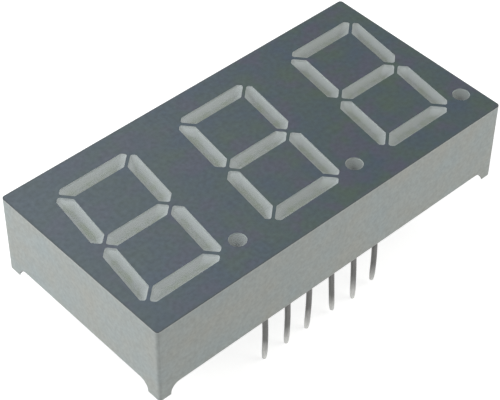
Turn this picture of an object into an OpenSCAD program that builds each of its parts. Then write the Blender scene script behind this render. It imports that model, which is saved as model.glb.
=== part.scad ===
// Three-digit seven-segment LED display with two rows of through-hole pins.
// Millimetres. +X runs along the digits, +Y up the digits and +Z out of the face.
// The origin is the middle of the pin pattern, on the plane that the four feet stand on.

/* [Case] */
// Length of the case along the row of digits
case_l = 37.6; // [31:0.1:60]
// Width of the case across the digits
case_w = 19; // [15:0.1:40]
// Depth of the case from its face to its rim
case_d = 7; // [5:0.1:14]
// Radius of the case's upright edges
case_round = 0.3; // [0.1:0.05:0.7]
// Thickness of the wall around the recess at the back
wall_t = 0.8; // [0.4:0.05:1]
// Radius of the recess's corners
recess_round = 1; // [0.4:0.1:1.5]
// Thickness of the dark ink on the face
ink_t = 0.05; // [0.02:0.01:0.2]

/* [Feet] */
// Height of the corner feet below the rim
foot_h = 1; // [0.5:0.1:3]
// Length of a foot's underside along the case
foot_l = 1.15; // [0.9:0.05:4]
// Length of a foot's underside across the case
foot_w = 1.4; // [0.9:0.05:4]
// Radius of the curve from a foot up to the rim
foot_flare = 0.9; // [0.1:0.05:1]

/* [Digits] */
// Gap between two displays set end to end so that all their digits keep one pitch
stack_gap = 0.5; // [0:0.05:0.55]
// Distance from a long side of the case to the digits' top or bottom bars
digit_margin = 2.4; // [1.8:0.1:4]
// Distance from a digit's right bars to the next digit's left bars, between centrelines
digit_space = 5.88; // [5.7:0.01:8]
// Width of the level bars
level_bar = 1.4; // [0.8:0.01:1.8]
// Width of the upright bars
upright_bar = 1.34; // [0.8:0.01:1.8]
// Lean of the digits to the right, in degrees
slant = 8; // [0:0.5:12]
// Width of the gap where two bars meet
mitre_gap = 0.31; // [0.15:0.01:0.6]
// Distance from where two centrelines cross to the cut on a digit's outer corner
corner_cut = 0.28; // [0.1:0.01:0.6]
// Diameter of the decimal point
point_d = 1.5; // [1.2:0.05:1.6]
// Distance from a decimal point's middle to the line halfway to the next digit
point_inset = 1.7; // [1.68:0.01:2.2]

/* [Light wells] */
// Length of a bar well's floor
well_floor_l = 3.4; // [1.5:0.1:5]
// Width of a bar well's floor
well_floor_w = 1; // [0.6:0.05:1.2]
// Diameter of a point well's floor
point_floor_d = 1.05; // [1.05:0.05:1.4]

/* [Circuit board] */
// Thickness of the circuit board
board_t = 1; // [0.6:0.1:1.6]
// Clearance between the board and the recess, all round
board_gap = 0.1; // [0.02:0.01:0.3]
// Thickness of the copper, let into the board's faces
copper_t = 0.035; // [0.02:0.005:0.1]
// Width of the tracks that carry the dies
track_w = 0.4; // [0.35:0.05:0.5]
// Side of the square pad at the far end of a bond wire
bond_pad_w = 0.35; // [0.1:0.05:0.4]

/* [Dies and bond wires] */
// Side of a light-emitting die
die_w = 0.3; // [0.2:0.01:0.35]
// Height of a light-emitting die
die_h = 0.2; // [0.1:0.01:0.3]
// Diameter of a bond wire
wire_d = 0.04; // [0.02:0.01:0.06]
// Distance from a die's middle to its bond pad
wire_span = 0.6; // [0.5:0.05:0.6]

/* [Pins] */
// Distance between neighbouring pins of a row
pin_pitch = 2.54; // [1.5:0.01:5]
// Distance from a long side of the case to the middles of the pins beside it
row_inset = 1.88; // [1.5:0.01:4.5]
// Diameter of a pin's tinned part, below the resin
pin_d = 0.5; // [0.4:0.01:0.6]
// Thickness of the tin that the pins were dipped in, below the resin
tin_t = 0.01; // [0.005:0.005:0.03]
// Length of the pins below the feet
pin_l = 6.5; // [2:0.1:15]
// Height and depth of the bevel on a pin's tip
pin_bevel = 0.1; // [0.02:0.01:0.15]
// Clearance around a pin in the board, filled with solder
hole_gap = 0.1; // [0.05:0.01:0.2]
// Width of the copper ring around a pin's hole
ring_w = 0.25; // [0.1:0.05:0.3]
// Height of the solder on the back of the board
solder_h = 0.5; // [0.2:0.05:0.7]

/* [Potting] */
// Thickness of the resin behind the board
potting_t = 0.8; // [0.75:0.05:2]
// Step from the case's rim up to the resin
rim_step = 0.2; // [0:0.05:1]

/* [Hidden] */
$fn = 64;
// How far a cutting solid reaches past the face that it cuts
over = 0.5;
digits = 3;
pins_per_row = 6;

// The digits and the rows of pins take their places from the case
digit_pitch = (case_l + stack_gap) / digits;
digit_h = case_w - 2 * digit_margin;
column_gap = digit_pitch - digit_space;
point_x = digit_pitch / 2 - point_inset;
row_gap = case_w - 2 * row_inset;

face_z = foot_h + case_d;
potting_z = foot_h + rim_step;
board_back = potting_z + potting_t;
board_front = board_back + board_t;
core_d = pin_d - 2 * tin_t;
hole_r = core_d / 2 + hole_gap;
ring_r = hole_r + ring_w;

// A digit's grid: centrelines lie at these distances from its middle
column = column_gap / 2;
row = (digit_h - level_bar) / 2;
// Places of the mitres and outer cuts, measured along the grid and not across them
gap = mitre_gap / sqrt(2);
cut = corner_cut * sqrt(2);

// Each bar: its letter, and the side and storey of the digit that it is on
LEVEL_BARS = [["a", 1], ["g", 0], ["d", -1]];
UPRIGHT_BARS = [["f", -1, 1], ["b", 1, 1], ["e", -1, -1], ["c", 1, -1]];

function node_name(digit, bar) = bar == "point"
    ? str("digit_", digit, "_point")
    : str("digit_", digit, "_segment_", bar);

LETTERS = ["a", "b", "c", "d", "e", "f", "g", "point"];

// A list in the other direction, if asked
function turned(list, back) = back ? [for (i = [len(list) - 1 : -1 : 0]) list[i]] : list;

// A point of the upright digit, leaned over
function lean(p) = [p[0] + p[1] * tan(slant), p[1]];

// The outline of an upright digit's top bar (storey 1) or bottom bar (storey -1), anticlockwise
function outer_level(storey) =
    let (
        half = level_bar / 2,
        inner = column - half - gap,
        tip = column + (cut - gap) / 2,
        outer = column - half + cut
    )
    turned([
        [-inner, storey * (row - half)],
        [inner, storey * (row - half)],
        [tip, storey * (row + (cut + gap) / 2)],
        [outer, storey * (row + half)],
        [-outer, storey * (row + half)],
        [-tip, storey * (row + (cut + gap) / 2)]
    ], storey < 0);

// The outline of the middle bar, which has a point at each end
function middle_level() =
    let (
        half = level_bar / 2,
        shoulder = column - half - gap
    )
    [
        [-(column - gap), 0],
        [-shoulder, -half],
        [shoulder, -half],
        [column - gap, 0],
        [shoulder, half],
        [-shoulder, half]
    ];

// The outline of an upright bar, on the left (side -1) or right (side 1)
function upright(side, storey) =
    let (half = upright_bar / 2)
    turned([
        [side * column, storey * gap],
        [side * (column - half), storey * (half + gap)],
        [side * (column - half), storey * (row - half - gap)],
        [side * (column + (cut + gap) / 2), storey * (row + (cut - gap) / 2)],
        [side * (column + half), storey * (row - half + cut)],
        [side * (column + half), storey * (half + gap)]
    ], side * storey > 0);

function size_of(outline, axis) =
    let (places = [for (p = outline) p[axis]])
    max(places) - min(places);

// An outline shrunk about its bar's middle to the size of the well's floor
function floor_of(outline, middle, floor_size) =
    let (
        shares = [for (axis = [0, 1]) floor_size[axis] / size_of(outline, axis)]
    )
    [for (p = outline) [for (axis = [0, 1]) middle[axis] + (p[axis] - middle[axis]) * shares[axis]]];

// Every bar as its letter, the outline on the face, the outline of the floor, the middle
// and the direction in which its bond wire runs
BARS = concat(
    [for (bar = LEVEL_BARS)
        let (
            outline = bar[1] == 0 ? middle_level() : outer_level(bar[1]),
            middle = [0, bar[1] * row]
        )
        [bar[0], outline, floor_of(outline, middle, [well_floor_l, well_floor_w]), middle, 180]],
    [for (bar = UPRIGHT_BARS)
        let (
            outline = upright(bar[1], bar[2]),
            middle = [bar[1] * column, bar[2] * row / 2]
        )
        [bar[0], outline, floor_of(outline, middle, [well_floor_w, well_floor_l]), middle, 90 - slant]]
);

// Where each die's bond wire starts, and its direction
SPOTS = concat(
    [for (bar = BARS) [bar[0], lean(bar[3]), bar[4]]],
    [["point", [point_x, -row], 0]]
);

function along(angle) = [cos(angle), sin(angle)];
function die_place(spot) = spot[1] - along(spot[2]) * wire_span / 2;
function pad_place(spot) = spot[1] + along(spot[2]) * wire_span / 2;
function die_of(letter) = [for (spot = SPOTS) if (spot[0] == letter) die_place(spot)][0];

function digit_x(digit) = (digit - (digits + 1) / 2) * digit_pitch;

// Pins count along the bottom row from the left, then back along the top row
function pin_place(pin) =
    let (
        top = pin > pins_per_row,
        step = top ? 2 * pins_per_row - pin : pin - 1
    )
    [(step - (pins_per_row - 1) / 2) * pin_pitch, (top ? 1 : -1) * row_gap / 2];

// A rectangle about the origin with rounded corners
module rounded_plate(l, w, r, t) {
    linear_extrude(t) {
        square([l - 2 * r, w], center = true);
        square([l, w - 2 * r], center = true);
        for (x = [-1, 1])
            for (y = [-1, 1])
                translate([x * (l / 2 - r), y * (w / 2 - r)])
                    circle(r);
    }
}

// A solid through a stack of outlines with equal numbers of points, each given with its height
module loft(stack) {
    n = len(stack[0][0]);
    top = (len(stack) - 1) * n;
    points = [for (level = stack) for (p = level[0]) [p[0], p[1], level[1]]];
    sides = [
        for (k = [0 : len(stack) - 2])
            for (i = [0 : n - 1])
                let (
                    low = k * n,
                    j = (i + 1) % n
                )
                each [
                    [low + i, low + n + i, low + n + j],
                    [low + i, low + n + j, low + j]
                ]
    ];
    floor_face = [for (i = [0 : n - 1]) i];
    roof_face = [for (i = [n - 1 : -1 : 0]) top + i];
    polyhedron(points = points, faces = concat([floor_face, roof_face], sides));
}

// The space of a bar's well; past is how far it runs on beyond the face and the board
module bar_well(bar, past = 0) {
    face = [for (p = bar[1]) lean(p)];
    floor_outline = [for (p = bar[2]) lean(p)];
    well = [[floor_outline, board_front], [face, face_z]];
    below = past > 0 ? [[floor_outline, board_front - past]] : [];
    above = past > 0 ? [[face, face_z + past]] : [];
    loft(concat(below, well, above));
}

module point_well(past = 0) {
    translate([point_x, -row, 0]) {
        translate([0, 0, board_front])
            cylinder(h = face_z - board_front, d1 = point_floor_d, d2 = point_d);
        if (past > 0) {
            translate([0, 0, board_front - past])
                cylinder(h = past, d = point_floor_d);
            translate([0, 0, face_z])
                cylinder(h = past, d = point_d);
        }
    }
}

module all_wells(past) {
    for (digit = [1 : digits])
        translate([digit_x(digit), 0, 0]) {
            for (bar = BARS)
                bar_well(bar, past);
            point_well(past);
        }
}

// A foot seen from one side: a post from the corner, curving out to the rim
module foot_profile(length) {
    difference() {
        square([length + foot_flare, foot_h]);
        translate([length + foot_flare, foot_h - foot_flare])
            circle(foot_flare);
        translate([length, -over])
            square([foot_flare + over, foot_h - foot_flare + over]);
    }
}

module corner_foot() {
    intersection() {
        translate([0, case_w, 0])
            rotate([90, 0, 0])
                linear_extrude(case_w)
                    foot_profile(foot_l);
        rotate([90, 0, 90])
            linear_extrude(case_l)
                foot_profile(foot_w);
        translate([case_l / 2, case_w / 2, 0])
            rounded_plate(case_l, case_w, case_round, foot_h);
    }
}

module reflector_case() {
    color("LightGray")
        difference() {
            union() {
                translate([0, 0, foot_h])
                    rounded_plate(case_l, case_w, case_round, case_d - ink_t);
                for (x = [0, 1])
                    for (y = [0, 1])
                        mirror([x, 0, 0])
                            mirror([0, y, 0])
                                translate([-case_l / 2, -case_w / 2, 0])
                                    corner_foot();
            }
            translate([0, 0, -over])
                recess(board_front + over);
            all_wells(over);
        }
}

module recess(height) {
    rounded_plate(case_l - 2 * wall_t, case_w - 2 * wall_t, recess_round, height);
}

module face_print() {
    color("DimGray")
        difference() {
            translate([0, 0, face_z - ink_t])
                rounded_plate(case_l, case_w, case_round, ink_t);
            all_wells(over);
        }
}

// The clear resin that fills one well, cast around its die and bond wire
module window(digit, letter) {
    color("Silver")
        translate([digit_x(digit), 0, 0])
            difference() {
                if (letter == "point")
                    point_well();
                for (bar = BARS)
                    if (bar[0] == letter)
                        bar_well(bar);
                for (spot = SPOTS)
                    if (spot[0] == letter) {
                        die(spot, over);
                        bond_wire(spot, over);
                    }
            }
}

// A die on its track; past carries a cutting copy down through the well's floor
module die(spot, past = 0) {
    place = die_place(spot);
    translate([place[0] - die_w / 2, place[1] - die_w / 2, board_front - past])
        cube([die_w, die_w, die_h + past]);
}

// A wire that leaves a die's top in a half circle and comes down on its pad
module bond_wire(spot, past = 0) {
    start = die_place(spot);
    translate([start[0], start[1], board_front])
        rotate(spot[2]) {
            translate([wire_span / 2, 0, die_h])
                rotate([90, 0, 0])
                    rotate_extrude(angle = 180)
                        translate([wire_span / 2, 0])
                            circle(d = wire_d, $fn = 24);
            translate([wire_span, 0, -past])
                cylinder(h = die_h + past, d = wire_d, $fn = 24);
        }
}

module dies(digit) {
    color("Goldenrod")
        translate([digit_x(digit), 0, 0])
            for (spot = SPOTS)
                die(spot);
}

module bond_wires(digit) {
    color("Gold")
        translate([digit_x(digit), 0, 0])
            for (spot = SPOTS)
                bond_wire(spot);
}

// A strip of track between two points, square ended and half its width too long at each end
module strip(from, to) {
    run = to - from;
    translate(from)
        rotate(atan2(run[1], run[0]))
            translate([-track_w / 2, -track_w / 2])
                square([norm(run) + track_w, track_w]);
}

// One digit's copper seen from the front: a common track under its dies, and the bond pads
module digit_copper() {
    strip(die_of("a"), die_of("d"));
    strip(die_of("f"), die_of("b"));
    strip(die_of("e"), die_of("c"));
    strip(die_of("d"), die_of("point"));
    for (spot = SPOTS)
        translate(pad_place(spot))
            rotate(spot[2])
                square(bond_pad_w, center = true);
}

module front_copper(past = 0) {
    translate([0, 0, board_front - copper_t])
        linear_extrude(copper_t + past)
            for (digit = [1 : digits])
                translate([digit_x(digit), 0])
                    digit_copper();
}

// The copper disc around each pin on the board's back, before its hole is made
module back_copper(past = 0) {
    at_pins(board_back - past)
        cylinder(h = copper_t + past, r = ring_r);
}

module at_pins(z) {
    for (pin = [1 : 2 * pins_per_row])
        translate([pin_place(pin)[0], pin_place(pin)[1], z])
            children();
}

module board_holes() {
    at_pins(board_back - over)
        cylinder(h = board_t + 2 * over, r = hole_r);
}

module circuit_board() {
    color("DarkSeaGreen")
        difference() {
            translate([0, 0, board_back])
                board_plate(board_t);
            board_holes();
            front_copper(over);
            back_copper(over);
        }
}

module board_plate(height) {
    side = wall_t + board_gap;
    rounded_plate(case_l - 2 * side, case_w - 2 * side, recess_round - board_gap, height);
}

module copper_tracks() {
    color("Peru") {
        difference() {
            front_copper();
            board_holes();
        }
        difference() {
            back_copper();
            board_holes();
        }
    }
}

// Solder around one pin: a plug in the board's hole and a cone on its back
module solder_joint() {
    translate([0, 0, board_back])
        cylinder(h = board_t, r = hole_r);
    translate([0, 0, board_back - solder_h])
        cylinder(h = solder_h, r1 = core_d / 2 + hole_gap / 2, r2 = ring_r);
}

module solder_joints() {
    color("Gainsboro")
        difference() {
            at_pins(0)
                solder_joint();
            at_pins(board_back - solder_h - over)
                cylinder(h = solder_h + board_t + 2 * over, d = core_d);
        }
}

// A round pin: bare wire from the board's front to the resin, tinned from there to its tip
module pin(number) {
    place = pin_place(number);
    color("DarkGray")
        translate([place[0], place[1], -pin_l]) {
            cylinder(h = pin_bevel, d1 = pin_d - 2 * pin_bevel, d2 = pin_d);
            translate([0, 0, pin_bevel])
                cylinder(h = pin_l + potting_z - pin_bevel, d = pin_d);
            cylinder(h = pin_l + board_front, d = core_d);
        }
}

module potting_resin() {
    color("WhiteSmoke")
        difference() {
            translate([0, 0, potting_z])
                recess(board_front - potting_z);
            translate([0, 0, board_back])
                board_plate(board_t + over);
            at_pins(0)
                solder_joint();
            at_pins(potting_z - over)
                cylinder(h = board_front - potting_z + 2 * over, d = core_d);
        }
}

reflector_case();
face_print();
for (digit = [1 : digits])
    for (letter = LETTERS)
        window(digit, letter);
for (digit = [1 : digits])
    dies(digit);
for (digit = [1 : digits])
    bond_wires(digit);
circuit_board();
copper_tracks();
solder_joints();
potting_resin();
for (number = [1 : 2 * pins_per_row])
    pin(number);
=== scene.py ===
"""Looks of a three-digit seven-segment display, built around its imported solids.

The part stands on its pins: +X runs along the digits, +Y up the digits and +Z out of the face.
Sizes are in millimetres until a mesh is made, which turns them into metres.
"""

import logging
import math
from dataclasses import dataclass, field
from enum import Enum

import bpy
import numpy as np
from mathutils import Matrix, Vector


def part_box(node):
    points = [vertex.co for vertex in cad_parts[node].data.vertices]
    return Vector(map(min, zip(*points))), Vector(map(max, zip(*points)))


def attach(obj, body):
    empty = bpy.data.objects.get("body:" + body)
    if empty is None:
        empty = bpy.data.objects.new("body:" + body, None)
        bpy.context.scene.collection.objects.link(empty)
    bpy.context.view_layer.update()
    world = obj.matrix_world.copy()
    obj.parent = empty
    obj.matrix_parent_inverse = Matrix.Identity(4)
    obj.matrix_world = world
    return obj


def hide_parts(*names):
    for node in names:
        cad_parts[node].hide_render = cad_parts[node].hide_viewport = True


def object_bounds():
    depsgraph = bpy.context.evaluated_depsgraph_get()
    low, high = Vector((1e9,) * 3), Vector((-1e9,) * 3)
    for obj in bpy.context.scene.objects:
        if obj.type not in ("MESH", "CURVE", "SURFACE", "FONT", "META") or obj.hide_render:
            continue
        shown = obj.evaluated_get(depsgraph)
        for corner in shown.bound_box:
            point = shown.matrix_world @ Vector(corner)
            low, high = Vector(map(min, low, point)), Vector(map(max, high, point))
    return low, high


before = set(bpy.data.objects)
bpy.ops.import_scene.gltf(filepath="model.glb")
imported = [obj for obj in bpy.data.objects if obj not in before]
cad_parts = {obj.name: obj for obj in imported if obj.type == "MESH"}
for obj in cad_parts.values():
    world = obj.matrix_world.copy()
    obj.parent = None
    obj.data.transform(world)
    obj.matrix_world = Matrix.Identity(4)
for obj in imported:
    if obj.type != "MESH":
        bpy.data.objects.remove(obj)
CAD_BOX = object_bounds()

MM = 0.001
BODY = "root"
DIGITS = 3
PINS = 12
LOG = logging.getLogger("display")


# Helpers for colours, sizes and objects

Color = tuple[float, float, float]


def linear(color: Color) -> tuple[float, float, float, float]:
    """Turns a colour as it looks on a screen into the linear colour that a shader takes.

    A value up to 0.04045 is divided by 12.92. Above that, 0.055 is added, the sum is divided by
    1.055, and the result is raised to the power of 2.4.

    Args:
        color: red, green and blue from 0 to 1.

    Returns:
        The linear colour with an alpha of 1.
    """
    shown = np.array(color)
    raised = np.where(shown <= 0.04045, shown / 12.92, ((shown + 0.055) / 1.055) ** 2.4)
    return (*raised.tolist(), 1.0)


def box_mm(node: str) -> tuple[np.ndarray, np.ndarray]:
    """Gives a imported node's lowest and highest corner in millimetres."""
    low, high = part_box(node)
    return np.array(low) / MM, np.array(high) / MM


def bearing(azimuth_deg: float, elevation_deg: float) -> Vector:
    """Gives the direction from the part to a place around it.

    Its x is the sine of the azimuth and its y less the cosine, both times the cosine of the
    elevation, and its z is the sine of the elevation.

    Args:
        azimuth_deg: the place's angle about z, from -Y towards +X.
        elevation_deg: its angle over the level.

    Returns:
        The vector, of length one.
    """
    azimuth, elevation = math.radians(azimuth_deg), math.radians(elevation_deg)
    flat = math.cos(elevation)
    return Vector((math.sin(azimuth) * flat, -math.cos(azimuth) * flat, math.sin(elevation)))


def link(name: str, data: bpy.types.ID) -> bpy.types.Object:
    """Makes an object and puts it in the scene.

    Args:
        name: the object's name.
        data: its mesh, lamp or camera.

    Returns:
        The object.
    """
    made = bpy.data.objects.new(name, data)
    bpy.context.scene.collection.objects.link(made)
    return made


# Outlines in the plane


def unit(vectors: np.ndarray) -> np.ndarray:
    """Scales each vector of an array to length one."""
    return vectors / np.linalg.norm(vectors, axis=-1, keepdims=True)


def anticlockwise(corners: np.ndarray) -> np.ndarray:
    """Orders an outline anticlockwise, judged by the sign of its shoelace area.

    Args:
        corners: the outline, one corner a row.

    Returns:
        The same outline, reversed if it ran clockwise.
    """
    after = np.roll(corners, -1, axis=0)
    area = np.sum(corners[:, 0] * after[:, 1] - corners[:, 1] * after[:, 0])
    return corners if area > 0 else corners[::-1]


def round_corners(corners: np.ndarray, radius: float, steps: int) -> np.ndarray:
    """Replaces each corner of a convex anticlockwise outline with an arc.

    At a corner the outline turns by an angle. The arc starts the radius times the tangent of half
    that angle before the corner, its centre lies the radius to the left of there, and its points
    are the vector from the centre to its start, turned by equal shares of the angle.

    Args:
        corners: the outline, one corner a row.
        radius: the arcs' radius.
        steps: how many edges each arc has.

    Returns:
        The rounded outline.
    """
    before = unit(corners - np.roll(corners, 1, axis=0))
    after = np.roll(before, -1, axis=0)
    cross = before[:, 0] * after[:, 1] - before[:, 1] * after[:, 0]
    turn = np.arctan2(cross, np.sum(before * after, axis=1))
    start = corners - before * (radius * np.tan(turn / 2))[:, None]
    left = np.column_stack([-before[:, 1], before[:, 0]])
    angle = turn[:, None] * np.linspace(0, 1, steps + 1)[None]
    cos, sin = np.cos(angle)[..., None], np.sin(angle)[..., None]
    arm = -radius * left[:, None]
    turned = arm * cos + radius * before[:, None] * sin
    return ((start + radius * left)[:, None] + turned).reshape(-1, 2)


def circle(radius: float, steps: int) -> np.ndarray:
    """Makes a circle about the origin: radius times cosine and sine of equal angles."""
    angle = np.linspace(0, 2 * math.pi, steps, endpoint=False)
    return radius * np.column_stack([np.cos(angle), np.sin(angle)])


def onto_plate(points: np.ndarray, half: np.ndarray, radius: float) -> np.ndarray:
    """Moves points to the nearest place on the edge of a plate with rounded corners.

    Each point is first clamped to the rectangle of the corner arcs' centres. Its place on the edge
    lies one radius from there, towards the point.

    Args:
        points: places outside the plate's rectangle of centres.
        half: half the plate's length and width.
        radius: the radius of its corners.

    Returns:
        The points on the edge.
    """
    centres = np.clip(points, radius - half, half - radius)
    return centres + radius * unit(points - centres)


def inset_of(points: np.ndarray, half: np.ndarray, radius: float) -> np.ndarray:
    """Gives how far points lie inside the edge of a plate with rounded corners.

    Beyond the rectangle of the corner arcs' centres it is the radius less the distance to that
    rectangle. Within it, it is the radius plus the distance to the rectangle's nearest side.

    Args:
        points: the places, with x and y last.
        half: half the plate's length and width.
        radius: the radius of its corners.

    Returns:
        The distances.
    """
    beyond = np.linalg.norm(points - np.clip(points, radius - half, half - radius), axis=-1)
    within = np.min(half - radius - np.abs(points), axis=-1)
    return radius - beyond + np.maximum(within, 0)


# Skins: closed surfaces made of rings


def quarter_round(radius: float, steps: int) -> tuple[np.ndarray, np.ndarray]:
    """Gives the rows of a rounded edge between a wall and a flat.

    Over a quarter turn, the way in from the wall is the radius times one less the cosine, and the
    way down from the flat is the radius times one less the sine.

    Args:
        radius: the radius of the edge.
        steps: how many strips it has.

    Returns:
        The way in and the way down of each row, from the wall to the flat.
    """
    angle = np.linspace(0, math.pi / 2, steps + 1)
    return radius * (1 - np.cos(angle)), radius * (1 - np.sin(angle))


def lifted(flat: np.ndarray, heights: np.ndarray) -> np.ndarray:
    """Sets rings of places in the plane at their heights, one for each ring."""
    return np.dstack([flat, np.broadcast_to(heights[:, None], flat.shape[:2])])


def rows_of(ring: np.ndarray, inward: np.ndarray, inset: np.ndarray, heights: np.ndarray) -> np.ndarray:
    """Lays a ring once for each height, moved along its inward directions by that row's inset."""
    return lifted(ring[None] + inward[None] * inset[:, None, None], heights)


@dataclass
class Skin:
    """The points and faces of a mesh, gathered surface by surface."""

    points: list[np.ndarray] = field(default_factory=list)
    faces: list[list[int]] = field(default_factory=list)
    slots: list[int] = field(default_factory=list)
    count: int = 0

    def add_points(self, points: np.ndarray) -> int:
        """Adds points and gives the index of the first.

        Args:
            points: three columns, one point a row.

        Returns:
            The index of the first of them.
        """
        first = self.count
        self.points.append(points)
        self.count += len(points)
        return first

    def add_faces(self, faces: np.ndarray, slot: int) -> None:
        """Adds faces that all have the same number of corners and the same material slot."""
        self.faces += faces.tolist()
        self.slots += [slot] * len(faces)

    def solid(self, rows: np.ndarray, slot: int = 0) -> None:
        """Adds a closed solid whose skin is rings of equal length, capped at the first and last.

        The quad at row i and place j joins (i, j), (i, j + 1), (i + 1, j + 1) and (i + 1, j), with
        the places counted round the ring. It faces out where anticlockwise rings climb.

        Args:
            rows: the points, by row, place in the ring and axis.
            slot: the material slot.
        """
        levels, places = rows.shape[:2]
        first = self.add_points(rows.reshape(-1, 3))
        index = first + np.arange(levels * places).reshape(levels, places)
        ahead = np.roll(index, -1, axis=1)
        quads = np.stack([index[:-1], ahead[:-1], ahead[1:], index[1:]], axis=-1)
        self.add_faces(quads.reshape(-1, 4), slot)
        self.add_faces(index[:1, ::-1], slot)
        self.add_faces(index[-1:], slot)

    def make(self, name: str, materials: list[bpy.types.Material]) -> bpy.types.Object:
        """Makes the mesh object, smooth except where faces meet at a clear angle.

        Args:
            name: the piece's name.
            materials: one for each slot.

        Returns:
            The object, at the origin, with its place in its mesh.
        """
        mesh = bpy.data.meshes.new(name)
        mesh.from_pydata((np.concatenate(self.points) * MM).tolist(), [], self.faces)
        for material in materials:
            mesh.materials.append(material)
        mesh.polygons.foreach_set("material_index", np.array(self.slots, np.int32))
        soften(mesh)
        return link(name, mesh)


SHARP_ANGLE = math.radians(38)


def soften(mesh: bpy.types.Mesh) -> None:
    """Shades a mesh smooth, with sharp edges where its faces meet at a clear angle.

    Args:
        mesh: the mesh.
    """
    mesh.update()
    mesh.shade_smooth()
    mesh.set_sharp_from_angle(angle=SHARP_ANGLE)


def cut_from(piece: bpy.types.Object, cutter: bpy.types.Object) -> None:
    """Takes a cutting solid away from a piece, and keeps the result as the piece's mesh.

    Args:
        piece: the object that is cut.
        cutter: the solid that is taken away.
    """
    modifier = piece.modifiers.new("wells", "BOOLEAN")
    modifier.operation = "DIFFERENCE"
    modifier.solver = "EXACT"
    modifier.material_mode = "TRANSFER"
    modifier.object = cutter
    graph = bpy.context.evaluated_depsgraph_get()
    cut = bpy.data.meshes.new_from_object(piece.evaluated_get(graph), depsgraph=graph)
    piece.modifiers.clear()
    old = piece.data
    cut.name = old.name
    piece.data = cut
    bpy.data.meshes.remove(old)
    soften(cut)


def points_of(mesh: bpy.types.Mesh) -> np.ndarray:
    """Gives a mesh's points in millimetres.

    Args:
        mesh: the mesh.

    Returns:
        The points, one a row.
    """
    flat = np.empty(3 * len(mesh.vertices), np.float32)
    mesh.vertices.foreach_get("co", flat)
    return flat.reshape(-1, 3) / MM


def mark_points(mesh: bpy.types.Mesh, marks: np.ndarray) -> None:
    """Stores each point's mark, from 0 to 1, for the finish to read."""
    edge = mesh.attributes.new("edge", "FLOAT", "POINT")
    edge.data.foreach_set("value", marks.astype(np.float32))


def finish_piece(piece: bpy.types.Object, slot: str, *nodes: str) -> None:
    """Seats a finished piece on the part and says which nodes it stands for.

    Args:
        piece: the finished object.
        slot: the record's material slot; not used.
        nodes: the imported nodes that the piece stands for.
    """
    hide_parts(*nodes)
    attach(piece, BODY)
    LOG.info("%s: %d faces, for %s", piece.name, len(piece.data.polygons), ", ".join(nodes))


# Materials


@dataclass(frozen=True)
class Clouds:
    """A cloudy pattern: its clouds' width in millimetres, its finer layers and the values it runs between."""

    size: float
    detail: float
    low: float = 0.0
    high: float = 1.0


@dataclass(frozen=True)
class Relief:
    """A fine relief: its bumps' width in millimetres, their finer layers, their depth and its strength."""

    size: float
    detail: float
    depth: float
    strength: float


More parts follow.
